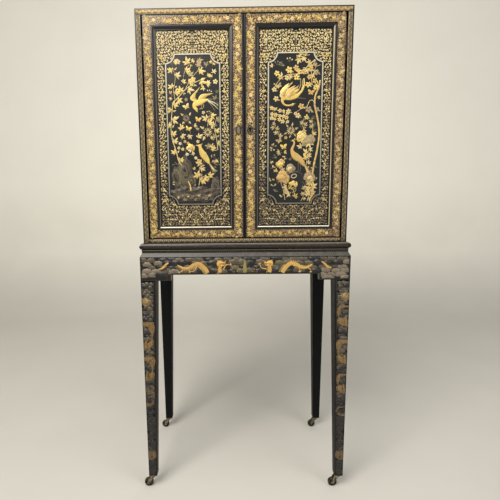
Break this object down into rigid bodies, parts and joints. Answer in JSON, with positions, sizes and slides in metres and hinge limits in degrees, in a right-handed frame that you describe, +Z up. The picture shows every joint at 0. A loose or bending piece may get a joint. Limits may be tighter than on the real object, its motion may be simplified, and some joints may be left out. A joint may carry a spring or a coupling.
{
  "type": "cabinet on stand",
  "caption": "Free-standing lacquer cabinet with hinged panelled doors over shelves, on a stand with tapering legs and swivel castors.",
  "frame": {"origin": "on the floor, at the middle of the footprint with the castor wheels counted in it", "axes": "+Z up, the doors face -Y, +X to the right of someone facing the doors"},
  "size_m": [0.72, 0.38, 1.624],
  "materials": {
    "lacquer": "black lacquer, glossy, slightly worn",
    "gilded_lacquer": "black lacquer closely painted with gilt ornament",
    "cartouche_lacquer": "greyish black lacquer painted in gold",
    "inside_wood": "dark stained wood, satin",
    "brass": "tarnished brass",
    "dark_brass": "blackened brass",
    "steel": "dull iron"
  },
  "bodies": {
    "cabinet": {"apron_front": "lacquer", "apron_left": "lacquer", "apron_rear": "lacquer", "apron_right": "lacquer", "back_panel": "inside_wood", "base_moulding_front": "lacquer", "base_moulding_left": "lacquer", "base_moulding_right": "lacquer", "cabinet_floor": "inside_wood", "cabinet_side_left": "lacquer", "cabinet_side_right": "lacquer", "cabinet_top": "lacquer", "castor_plate_front_left": "brass", "castor_plate_front_right": "brass", "castor_plate_rear_left": "brass", "castor_plate_rear_right": "brass", "hinge_cabinet_leaf_left_lower": "dark_brass", "hinge_cabinet_leaf_left_upper": "dark_brass", "hinge_cabinet_leaf_right_lower": "dark_brass", "hinge_cabinet_leaf_right_upper": "dark_brass", "leg_front_left": "lacquer", "leg_front_right": "lacquer", "leg_rear_left": "lacquer", "leg_rear_right": "lacquer", "shelf_lower": "inside_wood", "shelf_upper": "inside_wood", "stand_top": "lacquer"},
    "left_door": {"door_bolt_plate_lower": "brass", "door_bolt_plate_upper": "brass", "hinge_door_leaf_left_lower": "dark_brass", "hinge_door_leaf_left_upper": "dark_brass", "left_door_bottom_rail": "gilded_lacquer", "left_door_cartouche": "cartouche_lacquer", "left_door_escutcheon": "brass", "left_door_hinge_stile": "gilded_lacquer", "left_door_meeting_stile": "gilded_lacquer", "left_door_panel": "gilded_lacquer", "left_door_top_rail": "gilded_lacquer"},
    "right_door": {"hinge_door_leaf_right_lower": "dark_brass", "hinge_door_leaf_right_upper": "dark_brass", "lock_case": "steel", "meeting_bead": "lacquer", "right_door_bottom_rail": "gilded_lacquer", "right_door_cartouche": "cartouche_lacquer", "right_door_escutcheon": "brass", "right_door_hinge_stile": "gilded_lacquer", "right_door_meeting_stile": "gilded_lacquer", "right_door_panel": "gilded_lacquer", "right_door_top_rail": "gilded_lacquer"},
    "lock_bolt": {"lock_bolt": "steel"},
    "upper_door_bolt": {"door_bolt_upper": "brass"},
    "lower_door_bolt": {"door_bolt_lower": "brass"},
    "castor_front_left": {"castor_fork_front_left": "brass"},
    "wheel_front_left": {"castor_wheel_front_left": "brass"},
    "castor_front_right": {"castor_fork_front_right": "brass"},
    "wheel_front_right": {"castor_wheel_front_right": "brass"},
    "castor_rear_left": {"castor_fork_rear_left": "brass"},
    "wheel_rear_left": {"castor_wheel_rear_left": "brass"},
    "castor_rear_right": {"castor_fork_rear_right": "brass"},
    "wheel_rear_right": {"castor_wheel_rear_right": "brass"}
  },
  "joints": [
    {"name": "left_door_hinge", "type": "hinge", "parent": "cabinet", "child": "left_door", "pos_m": [-0.3063, -0.1785, 1.25975], "axis": [0, 0, -1], "range_deg": [0, 175]},
    {"name": "right_door_hinge", "type": "hinge", "parent": "cabinet", "child": "right_door", "pos_m": [0.3263, -0.1785, 1.25975], "axis": [0, 0, 1], "range_deg": [0, 175]},
    {"name": "lock_bolt_slide", "type": "slide", "parent": "right_door", "child": "lock_bolt", "axis": [-1, 0, 0], "range_m": [0, 0.008]},
    {"name": "upper_door_bolt_slide", "type": "slide", "parent": "left_door", "child": "upper_door_bolt", "axis": [0, 0, 1], "range_m": [0, 0.008]},
    {"name": "lower_door_bolt_slide", "type": "slide", "parent": "left_door", "child": "lower_door_bolt", "axis": [0, 0, -1], "range_m": [0, 0.008]},
    {"name": "castor_swivel_front_left", "type": "hinge", "parent": "cabinet", "child": "castor_front_left", "pos_m": [-0.3255, -0.1755, 0.043], "axis": [0, 0, 1], "continuous": true},
    {"name": "wheel_spin_front_left", "type": "hinge", "parent": "castor_front_left", "child": "wheel_front_left", "pos_m": [-0.344, -0.1755, 0.016], "axis": [0, 1, 0], "continuous": true},
    {"name": "castor_swivel_front_right", "type": "hinge", "parent": "cabinet", "child": "castor_front_right", "pos_m": [0.3455, -0.1755, 0.043], "axis": [0, 0, 1], "continuous": true},
    {"name": "wheel_spin_front_right", "type": "hinge", "parent": "castor_front_right", "child": "wheel_front_right", "pos_m": [0.327, -0.1755, 0.016], "axis": [0, 1, 0], "continuous": true},
    {"name": "castor_swivel_rear_left", "type": "hinge", "parent": "cabinet", "child": "castor_rear_left", "pos_m": [-0.3255, 0.1755, 0.043], "axis": [0, 0, 1], "continuous": true},
    {"name": "wheel_spin_rear_left", "type": "hinge", "parent": "castor_rear_left", "child": "wheel_rear_left", "pos_m": [-0.344, 0.1755, 0.016], "axis": [0, 1, 0], "continuous": true},
    {"name": "castor_swivel_rear_right", "type": "hinge", "parent": "cabinet", "child": "castor_rear_right", "pos_m": [0.3455, 0.1755, 0.043], "axis": [0, 0, 1], "continuous": true},
    {"name": "wheel_spin_rear_right", "type": "hinge", "parent": "castor_rear_right", "child": "wheel_rear_right", "pos_m": [0.327, 0.1755, 0.016], "axis": [0, 1, 0], "continuous": true}
  ]
}
